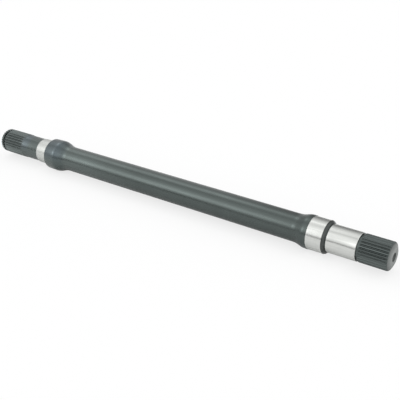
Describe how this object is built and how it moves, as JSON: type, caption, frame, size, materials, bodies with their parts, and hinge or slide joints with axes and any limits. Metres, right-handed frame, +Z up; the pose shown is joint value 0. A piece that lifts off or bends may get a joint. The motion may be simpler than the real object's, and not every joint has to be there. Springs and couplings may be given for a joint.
{
  "type": "axle shaft",
  "caption": "Solid intermediate drive shaft with a spline at each end, a collar and a flare on the bar, and ground seats for a bearing and seals.",
  "frame": {"origin": "on the shaft's axis, in the middle of the ground wall of the bearing seat", "axes": "+X along the shaft from the seal journal's end to the bearing seat's end, +Z up with the shaft held level"},
  "size_m": [0.6315, 0.045, 0.045],
  "materials": {
    "shaft_steel": "dark phosphate on the bar, collar and splines, ground bright on the journals"
  },
  "bodies": {
    "root": {"axle_shaft": "shaft_steel"}
  },
  "joints": []
}
